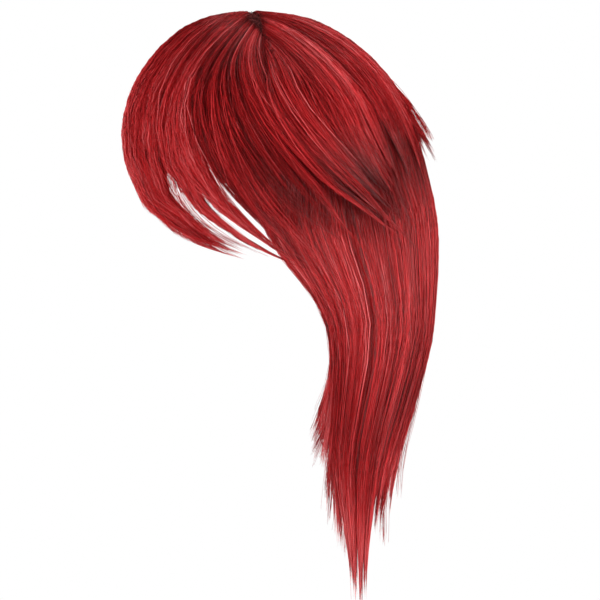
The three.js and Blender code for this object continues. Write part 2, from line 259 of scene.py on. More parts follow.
def head_guides(table, rise, mirror, reach):
    """Guide curves over the head for a layer, finely spaced across its locks."""
    row = lane_rows(len(table["root"]))[:, None]
    at = {k: between_rows(v, row) for k, v in table.items()}
    t = np.linspace(0, 1, SAMPLES)[None, :]
    tip_down = at["tip_down"]
    down = at["root_down"] + (tip_down - at["root_down"]) * t
    before = np.clip((at["waist_down"] - down) / (at["waist_down"] - at["root_down"]), 0, 1)
    after = np.clip((down - at["waist_down"]) / (tip_down - at["waist_down"]), 0, 1)
    around = at["waist"] + (at["root"] - at["waist"]) * before**ROOT_TURN
    around = around + (at["tip"] - at["waist"]) * after ** at["turn"]
    lift = smooth_table(rise["down"], rise["lift"], down)
    risen = smoothstep(down - at["root_down"], ROOT_RISE_START, rise["root_rise"])
    lift = rise["root_lift"] + (lift - rise["root_lift"]) * risen
    flick = at["flick"] * (1.0 if mirror > 0 else RIGHT_FLICK)
    lift = lift + flick * t**FLICK_POWER + at["raised"] * smoothstep(down, RAISE_START, RAISE_END)
    half = smooth_table(rise["down"], rise["half"], down)
    point = head_point(down, mirror * around, lift)
    looks = {k: table[k] for k in LOOKS}
    return dict(point=point, out=outward(point), half=half, mirror=mirror, reach=reach, **looks)


def catmull_rom(points, count):
    """Evenly spaced points on a smooth curve through the given ones."""
    p = np.asarray(points, float)
    p = np.vstack([2 * p[0] - p[1], p, 2 * p[-1] - p[-2]])
    out = []
    for a, b, c, d in zip(p[:-3], p[1:-2], p[2:-1], p[3:]):
        t1 = np.linalg.norm(b - a) ** CURVE_POWER
        t2 = t1 + np.linalg.norm(c - b) ** CURVE_POWER
        t3 = t2 + np.linalg.norm(d - c) ** CURVE_POWER
        t = np.linspace(t1, t2, CURVE_STEPS, endpoint=False)[:, None]
        a1 = (t1 - t) / t1 * a + t / t1 * b
        a2 = (t2 - t) / (t2 - t1) * b + (t - t1) / (t2 - t1) * c
        a3 = (t3 - t) / (t3 - t2) * c + (t - t2) / (t3 - t2) * d
        b1 = (t2 - t) / t2 * a1 + t / t2 * a2
        b2 = (t3 - t) / (t3 - t1) * a2 + (t - t1) / (t3 - t1) * a3
        out.append((t2 - t) / (t2 - t1) * b1 + (t - t1) / (t2 - t1) * b2)
    out = np.vstack(out + [p[-2][None]])
    length = np.concatenate([[0], np.cumsum(np.linalg.norm(np.diff(out, axis=0), axis=1))])
    at = np.linspace(0, length[-1], count)
    return np.stack([np.interp(at, length, out[:, k]) for k in range(3)], -1)


def long_guides(mirror):
    """Guide curves that leave the head and hang in the tail."""
    curves, halves = [], []
    for row in lane_rows(len(LONG["lane"])):
        at = {k: float(between_rows(v, np.float64(row))) for k, v in LONG.items()}
        down = np.linspace(at["root_down"], TAIL_HEAD_END, HEAD_STEPS)
        lane = at["lane"] - at["lean"] * (TAIL_HEAD_END - down) / (TAIL_HEAD_END - at["root_down"])
        lift = smooth_table(LENGTH_RISE["down"], LENGTH_RISE["lift"], down) - at["sink"]
        points = list(head_point(down, lane, lift))
        levels = [z for z in TAIL["z"] if z > at["tip_z"] + TIP_CLEAR] + [at["tip_z"]]
        for z in levels:
            bent = max(0, (z - FLARE_START) / (at["tip_z"] - FLARE_START)) ** FLARE_POWER
            inset = TIP_INSET if z == at["tip_z"] else TAIL_HALF
            bend = np.array([0, at["flare"] * bent, 0])
            points.append(tail_point(at["share"], np.float64(z), inset) + bend)
        curve = catmull_rom(points, SAMPLES)
        z = curve[:, 2]
        down = np.degrees(np.arccos(np.clip((z + HEAD_H) / HEAD_H, -1, 1)))
        hanging = smoothstep(-z, HEAD_H, -TAIL["z"][1])
        half = smooth_table(LENGTH_RISE["down"], LENGTH_RISE["half"], down)
        halves.append(half * (1 - hanging) + TAIL_HALF * hanging)
        curves.append(curve * np.array([mirror, 1, 1]))
    point = np.stack(curves)
    looks = {k: LONG[k] for k in LOOKS}
    half = np.stack(halves)
    return dict(point=point, out=outward(point), half=half, mirror=mirror, reach=RIGHT_LONG_END, **looks)


def place(guides, row, t, above):
    """Points in a layer: between guides at a row, a share t along, and above from -1 inside to 1 outside."""
    point, out, half = guides["point"], guides["out"], guides["half"]
    a = np.clip((row + LANE_MARGIN) / LANE_STEP, 0, len(point) - 1.001)
    b = np.clip(t, 0, 0.99999) * (SAMPLES - 1)
    i, j = a.astype(int), b.astype(int)
    fa, fb = a - i, b - j

    def take(grid):
        ga, gb = (fa, fb) if grid.ndim == 2 else (fa[..., None], fb[..., None])
        low = grid[i, j] * (1 - gb) + grid[i, j + 1] * gb
        high = grid[i + 1, j] * (1 - gb) + grid[i + 1, j + 1] * gb
        return low * (1 - ga) + high * ga

    start = (point[:, END_STEP] - point[:, 0]) * (SAMPLES - 1) / END_STEP
    end = (point[:, -1] - point[:, -1 - END_STEP]) * (SAMPLES - 1) / END_STEP
    beyond = start[i] * np.minimum(t, 0)[..., None] + end[i] * np.maximum(t - 1, 0)[..., None]
    return take(point) + beyond + take(out) * (take(half) * above)[..., None]


# Places on the UV map: across a tube and a body, and the bands that bodies and the two rows of tubes take up
TUBE_ACROSS = (0.2, 0.5, 0.8)
BODY_EDGE, BODY_SPAN = 0.05, 0.9
BODY_BAND, TUBE_BAND_START, TUBE_BAND = 0.19, 0.2, 0.4
TUBE_EDGE, TUBE_SPAN = 0.02, 0.96


class Shell:
    """Collects the tubes and bodies of one piece and makes them into one mesh."""

    def __init__(self, name):
        self.name = name
        self.verts, self.quads, self.tris, self.uvs, self.tones = [], [], [], [], []
        self.count, self.columns, self.bodies = 0, 0, 0

    def add(self, verts, quads, tris, uv, tone):
        self.verts.append(verts)
        self.quads.append(quads.reshape(-1, 4) + self.count)
        self.tris.append(tris.reshape(-1, 3) + self.count)
        self.uvs.append(uv)
        self.tones.append(tone)
        self.count += len(verts)

    def tubes(self, paths, radii, tone, roll):
        """Three-sided strands with a blunt root and a pointed tip. paths: strand, sample, xyz."""
        n, k, _ = paths.shape
        along = unit(np.gradient(paths, axis=1))
        b = unit(np.cross(outward(paths), along))
        c = np.cross(along, b)
        angle = roll[:, None, None] + np.arange(3)[None, None, :] * (2 * math.pi / 3)
        cos, sin = np.cos(angle)[..., None], np.sin(angle)[..., None]
        spoke = cos * b[:, :-1, None, :] + sin * c[:, :-1, None, :]
        ring = paths[:, :-1, None, :] + radii[:, :-1, None, None] * spoke
        per = (k - 1) * 3 + 1
        verts = np.concatenate([ring.reshape(n, -1, 3), paths[:, -1:, :]], axis=1)
        base = (np.arange(n) * per)[:, None, None]
        i = (np.arange(k - 2) * 3)[None, :, None]
        j = np.arange(3)[None, None, :]
        jn = (j + 1) % 3
        here = base + i
        quads = np.stack(np.broadcast_arrays(here + j, here + jn, here + 3 + jn, here + 3 + j), -1)
        foot = base[:, 0]
        last = foot + (k - 2) * 3
        tip = np.stack(np.broadcast_arrays(last + j[0], last + jn[0], last + 3), -1)
        root = np.concatenate([foot + 2, foot + 1, foot], -1)
        tris = np.concatenate([tip.reshape(-1, 3), root])
        uv = np.zeros((n, per, 3))
        uv[:, :-1, 0] = np.tile(TUBE_ACROSS, k - 1)[None, :]
        uv[:, -1, 0] = 0.5
        uv[:, :-1, 1] = np.repeat(np.linspace(0, 1, k)[:-1], 3)[None, :]
        uv[:, -1, 1] = 1
        uv[..., 2] = (self.columns + np.arange(n))[:, None]
        self.columns += n
        shade = np.concatenate([np.repeat(tone[:, :-1], 3, axis=1), tone[:, -1:]], axis=1)
        self.add(verts.reshape(-1, 3), quads, tris, uv.reshape(-1, 3), shade.reshape(-1))

    def body(self, rings, tone):
        """A closed loft through rings, each a loop of points, root first."""
        k, m, _ = rings.shape
        i = (np.arange(k - 1) * m)[:, None]
        j = np.arange(m)[None, :]
        jn = (j + 1) % m
        quads = np.stack(np.broadcast_arrays(i + j, i + jn, i + m + jn, i + m + j), -1)
        verts = np.concatenate([rings.reshape(-1, 3), rings[:1].mean(1), rings[-1:].mean(1)])
        first, last = k * m, k * m + 1
        root = np.stack([np.full(m, first), jn[0], j[0]], -1)
        tip = np.stack([np.full(m, last), (k - 1) * m + j[0], (k - 1) * m + jn[0]], -1)
        uv = np.zeros((len(verts), 3))
        uv[: k * m, 0] = np.tile(np.linspace(BODY_EDGE, 1 - BODY_EDGE, m), k)
        uv[: k * m, 1] = np.repeat(np.linspace(0, 1, k), m)
        uv[-2:, 0] = 0.5
        uv[-1, 1] = 1
        self.bodies += 1
        uv[:, 2] = -self.bodies
        shade = np.broadcast_to(tone, (k, m)).ravel()
        shade = np.concatenate([shade, shade[:1], shade[-1:]])
        self.add(verts, quads, np.concatenate([root, tip]), uv, shade)

    def hoop(self, rings, tone):
        """A closed ring: a loop of sections, each a loop of points."""
        k, m, _ = rings.shape
        i, j = np.arange(k)[:, None], np.arange(m)[None, :]
        i_next, j_next = (i + 1) % k, (j + 1) % m
        quads = np.stack(
            np.broadcast_arrays(i * m + j, i * m + j_next, i_next * m + j_next, i_next * m + j), -1
        )
        self.bodies += 1
        spots = np.broadcast_arrays(BODY_EDGE + BODY_SPAN * i / k, j / m, np.float64(-self.bodies))
        uv = np.stack(spots, -1).reshape(-1, 3)
        self.add(rings.reshape(-1, 3), quads, np.zeros((0, 3), int), uv, np.full(k * m, tone))

    def finish(self, material):
        verts = np.concatenate(self.verts) * MM
        quads = np.concatenate(self.quads)
        tris = np.concatenate(self.tris)
        uv = np.concatenate(self.uvs)
        spot = np.zeros((len(verts), 2))
        is_body = uv[:, 2] < 0
        per_row = max(1, math.ceil(self.columns / 2))
        spot[:, 0] = (np.mod(uv[:, 2], per_row) + uv[:, 0]) / per_row
        tube_row = np.floor(uv[:, 2] / per_row)
        spot[:, 1] = TUBE_BAND_START + TUBE_BAND * (tube_row + TUBE_EDGE + TUBE_SPAN * uv[:, 1])
        spot[is_body, 0] = (-uv[is_body, 2] - 1 + uv[is_body, 0]) / max(1, self.bodies)
        spot[is_body, 1] = BODY_BAND * uv[is_body, 1]
        me = bpy.data.meshes.new(self.name)
        me.vertices.add(len(verts))
        me.vertices.foreach_set("co", verts.astype(np.float32).ravel())
        loops = np.concatenate([quads.ravel(), tris.ravel()]).astype(np.int32)
        me.loops.add(len(loops))
        me.loops.foreach_set("vertex_index", loops)
        me.polygons.add(len(quads) + len(tris))
        starts = np.concatenate([np.arange(len(quads)) * 4, len(quads) * 4 + np.arange(len(tris)) * 3])
        me.polygons.foreach_set("loop_start", starts.astype(np.int32))
        layer = me.uv_layers.new(name="OFBake")
        layer.data.foreach_set("uv", spot[loops].astype(np.float32).ravel())
        attribute = me.attributes.new("tone", "FLOAT", "POINT")
        attribute.data.foreach_set("value", np.concatenate(self.tones).astype(np.float32))
        me.update(calc_edges=True)
        me.shade_smooth()
        me.materials.append(material)
        obj = bpy.data.objects.new(self.name, me)
        bpy.context.scene.collection.objects.link(obj)
        return obj


def stations(k, root_detail=1.0):
    """Places along each strand, closer together near the root, with a short point at the tip."""
    along = np.linspace(0, 1, k - 1) ** np.reshape(root_detail, (-1, 1)) * (1 - POINT_LENGTH)
    return np.concatenate([along, np.ones((len(along), 1))], axis=1)


def wander(rng, n, k, knots):
    """Smooth random curves from about -1 to 1, one per strand."""
    y = rng.normal(0, 0.5, (n, knots))
    slope = np.gradient(y, axis=1)
    at = np.linspace(0, knots - 1, k)
    i = np.clip(at.astype(int), 0, knots - 2)
    return hermite(y[:, i], y[:, i + 1], slope[:, i], slope[:, i + 1], (at - i)[None, :])


def lock_width(t, u, gaps, style):
    """What is left of a lock's width on each side of its middle, as it draws apart and narrows to its tip."""
    (start_a, share_a), (start_b, share_b) = gaps
    before = 1 - share_a * smoothstep(t, start_a, start_a + GAP_LENGTH)
    after = 1 - share_b * smoothstep(t, start_b, start_b + GAP_LENGTH)
    return np.where(u < 0, before, after) * (1 - style["point"] * smoothstep(t, style["point_from"], 1.0))


def waves(rng, count=3):
    """A smooth random curve across a lock, from about -1 to 1."""
    rate, phase = rng.uniform(1.2, 5.5, count), rng.uniform(0, 2 * math.pi, count)
    return lambda u: np.sin(rate * np.asarray(u)[..., None] + phase).sum(-1) / count


# Places across a lock go from -1 to 1, and heights from -1 at the inside of its layer to 1 at the outside
ROOT_HEIGHT, TOP_HEIGHT = -1.1, 1.15
STRAND_EDGE, CLUMP_EDGE = 1.04, 0.97
CLUMP_HEIGHT, CLUMP_MIX = 0.07, 0.08
# Most strands lie near the outside, and a few deep inside
OUTER_DEPTH = 0.75
DEEP_SHARE, DEEP_LOW, DEEP_RANGE = 0.12, -0.8, 0.9
# Strands that lie below this height end sooner, and so do loose ones
COVERED, COVERED_SHORTER, LOOSE_SHORTER = 0.35, 0.14, 0.15
END_LONGER, END_SHORTER = 0.5, 0.9
DETAIL_RANGE = (0.85, 1.15)
SWELL, HEIGHT_WAVER, LOOSE_HEIGHT = 0.2, 0.05, (0.1, 0.5)
ROOT_RADIUS, TIP_THINNER = 0.6, 0.6
# Tones: the middle one, what height adds (deeper strands painted darker, as painted shade), what loose
# strands and the odd dark strand add, and where tips are painted lighter, as painted light
MID_TONE, SHADE_TONE, HEIGHT_TONE, TONE_WAVER, LOOSE_TONE = 0.5, 0.12, 0.08, 0.06, 0.1
DARK_SHARE, DARK_BY = 0.07, 0.35
TIP_LIGHT_FROM = (0.74, 0.9)
# The body of a lock: its rings, points across its outside, and the places and heights of those on its inside
BODY_RINGS, BODY_ACROSS = 26, 20
BODY_UNDER, BODY_UNDER_HEIGHT = [0.9, 0, -0.9], [-0.85, -0.9, -0.85]
RIDGE_HEIGHT, RIDGE_TONE, BODY_SHADE_TONE = 0.025, 0.05, 0.08
BODY_RISE, BODY_INSIDE, BODY_TIP, BODY_TIP_WIDTH = 1.3, 0.04, 0.04, 0.25


def grow_lock(shell, rng, guides, lock, gaps, strands, segments, style, reach):
    """Fills one lock with a dense body and with strands that gather into clumps towards the tip."""
    k = segments + 1
    clumps = style["clumps"]
    swell, shade = waves(rng), waves(rng)
    centre = np.sort(rng.uniform(-CLUMP_EDGE, CLUMP_EDGE, clumps))
    high = rng.normal(0, CLUMP_HEIGHT, clumps)
    clump_tone = rng.normal(0, style["clump_tone"], clumps)
    clump_end = 1 - np.abs(rng.normal(0, style["ragged"], clumps))
    u0 = rng.uniform(-STRAND_EDGE, STRAND_EDGE, strands)
    mixed = rng.normal(0, CLUMP_MIX, (strands, 1))
    which = np.abs(u0[:, None] - centre[None, :] + mixed).argmin(1)
    w0 = 1 - OUTER_DEPTH * rng.beta(1.1, 1.6, strands)
    w0 = np.where(rng.random(strands) < DEEP_SHARE, DEEP_LOW + DEEP_RANGE * rng.random(strands), w0)
    loose = rng.random(strands) < style["loose"]
    uneven = np.abs(rng.normal(0, END_LONGER, strands)) - rng.exponential(END_SHORTER, strands)
    end = reach * clump_end[which] * (1 + style["ragged"] * uneven)
    end *= 1 - COVERED_SHORTER * (w0 < COVERED) - LOOSE_SHORTER * loose
    start = rng.uniform(*style["root_scatter"], strands)
    s = stations(k, style["root_detail"] * rng.uniform(*DETAIL_RANGE, strands))
    t = start[:, None] + (end - start)[:, None] * s
    gather = style["gather"] * smoothstep(t, style["gather_from"], 1.0)
    clump_path = centre[:, None] + style["drift"] * wander(rng, clumps, k, 5)
    u = u0[:, None] * (1 - gather) + clump_path[which] * gather
    u += (style["stray"] * (1 + 1.5 * loose))[:, None] * wander(rng, strands, k, 4) * (0.3 + 0.7 * t)
    row = lock + 0.5 * u * lock_width(t, u, gaps, style)
    row += (loose * rng.normal(0, style["loose_drift"], strands))[:, None] * smoothstep(t, 0.3, 1.05)
    w = w0[:, None] + (SWELL * swell(u0) + high[which])[:, None] * smoothstep(t, 0.05, 0.4)
    waver = HEIGHT_WAVER * wander(rng, strands, k, 4)
    w += waver + (loose * rng.uniform(*LOOSE_HEIGHT, strands))[:, None] * smoothstep(t, 0.1, 0.5)
    lens = np.sqrt(np.clip(1 - 0.6 * u**2, 0.1, 1))
    w = np.minimum(w * (1 - smoothstep(t, 0.6, 1) * (1 - lens)), TOP_HEIGHT)
    w *= 1 - style["thin"] * smoothstep(t, style["thin_from"], 1.02)
    w = ROOT_HEIGHT + (w - ROOT_HEIGHT) * smoothstep(t, -0.05, style["rise"])
    paths = place(guides, row, t, w)
    r0 = rng.uniform(*style["radius"], strands)[:, None]
    radii = r0 * (ROOT_RADIUS + (1 - ROOT_RADIUS) * smoothstep(s, 0, 0.12))
    radii = radii * (1 - TIP_THINNER * smoothstep(s, 0.7, 1.0))
    tone = MID_TONE + clump_tone[which] + SHADE_TONE * shade(u0)
    # Strands lying deeper in the layer are painted darker and outer ones lighter: painted shade
    tone = tone + rng.normal(0, style["strand_tone"], strands) + HEIGHT_TONE * w0
    tone += LOOSE_TONE * loose - DARK_BY * (rng.random(strands) < DARK_SHARE)
    # Each lock's own lighter or darker tone: partly its colour and partly painted shade and light
    tone = tone[:, None] + guides["tone"][lock] * smoothstep(t, *style["tone_from"])
    # Roots painted darker: partly darker roots, and partly painted shade where strands go down to the cap
    # and, on the long hair, under the crown layer
    root_dark_and_shade = 1 - style["root_dark_and_shade"] * (1 - smoothstep(t, *style["dark_root_and_shade_span"]))
    root_dark_and_shade *= 0.6 + 0.4 * smoothstep(t, -0.02, 0.03)
    tone = tone * root_dark_and_shade + TONE_WAVER * wander(rng, strands, k, 5)
    # Tips painted lighter: painted light, standing in for light through thin tips
    tone = tone + style["tip_light"] * smoothstep(t, *TIP_LIGHT_FROM)
    # A band along the lock painted darker: painted shade
    tone -= guides["dim"][lock] * np.exp(-(((t - style["dim_at"]) / style["dim_reach"]) ** 2))
    shell.tubes(paths, radii, np.clip(tone, 0, 1), rng.uniform(0, 2, strands))
    grow_body(shell, rng, guides, lock, gaps, style, reach, swell, shade)


def grow_body(shell, rng, guides, lock, gaps, style, reach, swell, shade):
    """The dense hair inside a lock, with ridges along it."""
    start, end = style["body_start"], reach * style["body_end"]
    t = start + (end - start) * np.linspace(0, 1, BODY_RINGS)[:, None] ** style["root_detail"]
    top = np.linspace(-1, 1, BODY_ACROSS + 1)
    u = np.concatenate([top, BODY_UNDER])[None, :] * np.ones((BODY_RINGS, 1))
    w = style["body_top"] + SWELL * swell(top) + rng.normal(0, RIDGE_HEIGHT, BODY_ACROSS + 1)
    w = np.concatenate([w, BODY_UNDER_HEIGHT])[None, :] * np.ones((BODY_RINGS, 1))
    w = ROOT_HEIGHT + (w - ROOT_HEIGHT) * smoothstep(t, -0.03, style["rise"] * BODY_RISE)
    lens = np.sqrt(np.clip(1 - 0.7 * u**2, 0.1, 1))
    w = w * (1 - smoothstep(t, 0.6, 1) * (1 - lens))
    narrow = np.maximum(1 - smoothstep(t, end - style["body_taper"], end), BODY_TIP)
    keep = lock_width(t + BODY_INSIDE, u, gaps, style) * (BODY_TIP_WIDTH + (1 - BODY_TIP_WIDTH) * narrow)
    w = w * (1 - style["thin"] * smoothstep(t, style["thin_from"], 1.0)) * narrow
    rings = place(guides, lock + 0.5 * u * keep, t * np.ones_like(u), w)
    tone = style["body_tone"] + BODY_SHADE_TONE * shade(u[0]) + rng.normal(0, RIDGE_TONE, u.shape[1])
    # The lock's tone as on its strands: partly its colour and partly painted shade and light
    tone = tone[None, :] + guides["tone"][lock] * smoothstep(t, *style["tone_from"])
    # Roots painted darker as on the strands: partly darker roots and partly painted shade
    tone = tone * (1 - style["root_dark_and_shade"] * (1 - smoothstep(t, *style["dark_root_and_shade_span"])))
    if guides["mirror"] > 0:
        rings, tone = rings[:, ::-1], tone[:, ::-1]
    shell.body(rings, tone)


def grow_wisp(shell, rng, guides, wisp):
    """A few strands that leave a lock and lie by themselves."""
    row, start, end, count, spread, drift, above = wisp
    k = WISP_SEGMENTS + 1
    s = stations(k)
    starts = (start + rng.uniform(0, 0.1, count))[:, None]
    ends = (end - np.abs(rng.normal(0, 0.03, count)))[:, None]
    t = starts * (1 - s) + ends * s
    leave = smoothstep(s, 0.05, 1.0)
    apart = (spread * rng.normal(0, 1, count))[:, None] * (1 - 0.5 * s)
    rows = row + apart + drift * rng.uniform(0.5, 1.3, count)[:, None] * leave
    rows += 0.05 * wander(rng, count, k, 5)
    w = 0.6 + (above * rng.uniform(0.6, 1.2, count) - 0.6)[:, None] * leave + 0.15 * wander(rng, count, k, 5)
    radii = rng.uniform(0.15, 0.3, count)[:, None] * (1 - 0.6 * smoothstep(s, 0.6, 1.0))
    tone = np.clip(rng.normal(0.55, 0.12, count)[:, None] + 0.05 * wander(rng, count, k, 5), 0, 1)
    shell.tubes(place(guides, rows, t, w), radii, tone, rng.uniform(0, 2, count))


# Share of a lock's length over which a gap opens
GAP_LENGTH = 0.2
# In each style, dim_at and dim_reach: where the band of painted shade lies along a lock, and how far it
# reaches
# In each style, the root darkening and its span: partly darker roots and partly painted shade, on the long
# hair the shade under the crown layer
# In each style, tip_light: how much lighter the tips are painted, painted light standing in for light through
# thin tips
FRINGE_STYLE = dict(
    clumps=7, clump_tone=0.09, strand_tone=0.16, root_scatter=(-0.02, 0.03), gather=0.6, gather_from=0.45,
    drift=0.11, stray=0.09, loose=0.12, loose_drift=0.4, thin=0.5, thin_from=0.6, rise=0.02,
    radius=(0.13, 0.3),
    body_start=0.01, body_tone=0.42, body_top=0.55, point=0.7, point_from=0.84, dark_root_and_shade_span=(-0.01, 0.04),
    root_dark_and_shade=0.15, root_detail=1.35, dim_at=0.27, dim_reach=0.13, tip_light=0.08,
    tone_from=(0.2, 0.45), body_taper=0.2,
)
CROWN_STYLE = dict(
    clumps=8, clump_tone=0.09, strand_tone=0.16, root_scatter=(-0.02, 0.03), gather=0.4, gather_from=0.45,
    drift=0.14, stray=0.11, loose=0.12, loose_drift=0.35, thin=0.45, thin_from=0.6, rise=0.02,
    radius=(0.13, 0.3),
    body_start=0.01, body_tone=0.42, body_top=0.55, point=0.35, point_from=0.8, dark_root_and_shade_span=(0.0, 0.06),
    root_dark_and_shade=0.15, root_detail=1.35, dim_at=0.94, dim_reach=0.17, tip_light=0.0,
    tone_from=(-0.1, 0.0), body_taper=0.28,
)
LONG_STYLE = dict(
    clumps=11, clump_tone=0.06, strand_tone=0.17, root_scatter=(0.0, 0.03), gather=0.25, gather_from=0.4,
    drift=0.18, stray=0.13, loose=0.07, loose_drift=0.3, thin=0.5, thin_from=0.8, rise=0.05,
    radius=(0.13, 0.31),
    body_start=0.02, body_tone=0.42, body_top=0.55, point=0.15, point_from=0.85, dark_root_and_shade_span=(0.18, 0.28),
    root_dark_and_shade=0.66, root_detail=1.1, dim_at=0.67, dim_reach=0.12, tip_light=0.33,
    tone_from=(-0.1, 0.0), body_taper=0.14,
)
# Where a lock draws apart from the ones beside it: share of its length, and share of the width that opens.
# The front of the long hair stays close nearly to its tips, and opens between rows 5 and 6 into two points.
PLAIN_GAPS = ((0.78, 0.25), (0.78, 0.25))
CLOSE_GAPS = ((0.9, 0.2), (0.9, 0.2))
LONG_GAPS = {
    **{row: CLOSE_GAPS for row in range(5)},
    5: (CLOSE_GAPS[0], (0.72, 0.45)),
    6: ((0.72, 0.55), PLAIN_GAPS[1]),
}

# Single strands beside the locks: row, start and end along it, how many, spread and drift in rows, and height
WISP_SEGMENTS = 10
WISPS = {
    "fringe_left": [
        (3.0, 0.55, 0.98, 14, 0.22, -0.45, 0.8),
        (2.2, 0.5, 1.0, 10, 0.2, 0.3, 0.8),
        (4.5, 0.6, 1.02, 22, 0.08, 0.0, 0.5),
        (5.4, 0.6, 1.1, 14, 0.12, 0.0, 0.7),
        (1.0, 0.6, 1.0, 14, 0.2, 0.0, 0.8),
    ],
    "side_left": [
        (-0.4, 0.1, 0.42, 14, 0.12, -0.1, 1.4),
        (-0.1, 0.45, 1.02, 130, 0.22, 0.0, 0.8),
        (0.5, 0.5, 1.0, 40, 0.12, 0.0, 0.8),
        (0.6, 0.5, 1.03, 22, 0.15, 0.0, 1.0),
    ],
    "crown_back": [(6.0, 0.5, 0.98, 40, 0.35, 0.0, 1.0), (7.0, 0.4, 0.95, 14, 0.4, 0.0, 1.2)],
    "length_back": [(8.0, 0.4, 0.98, 16, 0.4, 0.0, 1.6), (6.6, 0.4, 1.06, 14, 0.4, 0.0, 1.2)],
    "length_left": [(4.0, 0.5, 1.01, 24, 0.5, 0.0, 0.6)],
}


def fringe_gaps(lock, mirror):
    """Where the lock draws apart from the ones before and after it, as shares of its own length."""
    root, tip = FRINGE["root_down"][lock], FRINGE["tip_down"][lock]
    sooner, wider = (0, 1) if mirror > 0 else (RIGHT_GAP_SOONER, RIGHT_GAP_WIDER)
    down, share = FRINGE_GAPS["down"], FRINGE_GAPS["share"]
    return [
        ((down[edge] - sooner - root) / (tip - root), min(WIDEST_GAP, wider * share[edge]))
        for edge in (lock, lock + 1)
    ]


def ramp_node(nodes, stops):
    ramp = nodes.new("ShaderNodeValToRGB")
    elements = ramp.color_ramp.elements
    elements[0].position, elements[0].color = stops[0][0], (*stops[0][1], 1)
    elements[1].position, elements[1].color = stops[-1][0], (*stops[-1][1], 1)
    for position, colour in stops[1:-1]:
        elements.new(position).color = (*colour, 1)
    return ramp


# Streaks along the hair: their scale on the UV map, and how far they change the tone and the roughness
STREAK_SCALE, STREAK_TONE, STREAK_GLOSS = (900, 9, 1), 0.24, 0.07


def hair_material(name, stops, roughness, gloss_level):
    """Colour by each strand's tone, with finer streaks along it that also change its gloss a little."""
    m = bpy.data.materials.new(name)
    m.use_nodes = True
    nodes, links = m.node_tree.nodes, m.node_tree.links
    bsdf = nodes["Principled BSDF"]
    tone = nodes.new("ShaderNodeAttribute")
    tone.attribute_name = "tone"
    uv = nodes.new("ShaderNodeUVMap")
    uv.uv_map = "OFBake"
    stretch = nodes.new("ShaderNodeMapping")
    stretch.inputs["Scale"].default_value = STREAK_SCALE
    streak = nodes.new("ShaderNodeTexNoise")
    streak.inputs["Scale"].default_value = 1.0
    streak.inputs["Detail"].default_value = 2.0
    links.new(uv.outputs["UV"], stretch.inputs["Vector"])
    links.new(stretch.outputs["Vector"], streak.inputs["Vector"])
    shift = nodes.new("ShaderNodeMath")
    shift.operation = "MULTIPLY_ADD"
    shift.inputs[1].default_value = STREAK_TONE
    shift.inputs[2].default_value = -STREAK_TONE / 2
    add = nodes.new("ShaderNodeMath")
    add.operation = "ADD"
    add.use_clamp = True
    ramp = ramp_node(nodes, stops)
    links.new(streak.outputs["Fac"], shift.inputs[0])
    links.new(shift.outputs["Value"], add.inputs[0])
    links.new(tone.outputs["Fac"], add.inputs[1])
    links.new(add.outputs["Value"], ramp.inputs["Fac"])
    links.new(ramp.outputs["Color"], bsdf.inputs["Base Color"])
    gloss = nodes.new("ShaderNodeMapRange")
    gloss.inputs["To Min"].default_value = roughness - STREAK_GLOSS
    gloss.inputs["To Max"].default_value = roughness + STREAK_GLOSS
    links.new(streak.outputs["Fac"], gloss.inputs["Value"])
    links.new(gloss.outputs["Result"], bsdf.inputs["Roughness"])
    bsdf.inputs["Specular IOR Level"].default_value = gloss_level
    return m


# The top of the ramp turns paler and pinker: partly the hair's own lighter strands and partly painted
# highlight
HAIR = hair_material(
    "red_hair",
    [
        (0.0, (0.070, 0.004, 0.004)),
        (0.3, (0.180, 0.004, 0.005)),
        (0.55, (0.380, 0.010, 0.012)),
        (0.75, (0.520, 0.024, 0.027)),
        (0.9, (0.620, 0.060, 0.065)),
        (1.0, (0.700, 0.130, 0.135)),
    ],
    roughness=0.36,
    gloss_level=0.27,
)

fringe_left, fringe_right = (
    head_guides(FRINGE, FRINGE_RISE, side, RIGHT_FRINGE_END) for side in (LEFT, RIGHT)
)
crown_left, crown_right = (head_guides(CROWN, CROWN_RISE, side, 1.0) for side in (LEFT, RIGHT))
long_left, long_right = (long_guides(side) for side in (LEFT, RIGHT))

FRINGE_ROWS = range(len(FRINGE["root"]))
CROWN_SIDE_ROWS = range(CROWN_SIDE_COUNT)
CROWN_BACK_ROWS = range(CROWN_SIDE_COUNT, len(CROWN["root"]))
SIDE_ROWS = range(SIDE_COUNT)
LENGTH_SIDE_ROWS = range(SIDE_COUNT, SIDE_COUNT + LENGTH_SIDE_COUNT)
LENGTH_BACK_ROWS = range(SIDE_COUNT + LENGTH_SIDE_COUNT, len(LONG["lane"]))

# node: layers with their rows, strands per lock, segments per strand, style
HAIR_PIECES = {
    "fringe_left": ([(fringe_left, FRINGE_ROWS)], 330, 10, FRINGE_STYLE),
    "fringe_right": ([(fringe_right, FRINGE_ROWS)], 170, 10, FRINGE_STYLE),
    "crown_left": ([(crown_left, CROWN_SIDE_ROWS)], 380, 9, CROWN_STYLE),
    "crown_right": ([(crown_right, CROWN_SIDE_ROWS)], 215, 9, CROWN_STYLE),
    "crown_back": ([(crown_left, CROWN_BACK_ROWS), (crown_right, CROWN_BACK_ROWS)], 300, 9, CROWN_STYLE),
    "side_left": ([(long_left, SIDE_ROWS)], 480, 11, LONG_STYLE),
    "side_right": ([(long_right, SIDE_ROWS)], 240, 11, LONG_STYLE),
    "length_left": ([(long_left, LENGTH_SIDE_ROWS)], 480, 11, LONG_STYLE),
    "length_right": ([(long_right, LENGTH_SIDE_ROWS)], 240, 11, LONG_STYLE),
    "length_back": ([(long_left, LENGTH_BACK_ROWS), (long_right, LENGTH_BACK_ROWS)], 255, 11, LONG_STYLE),
}

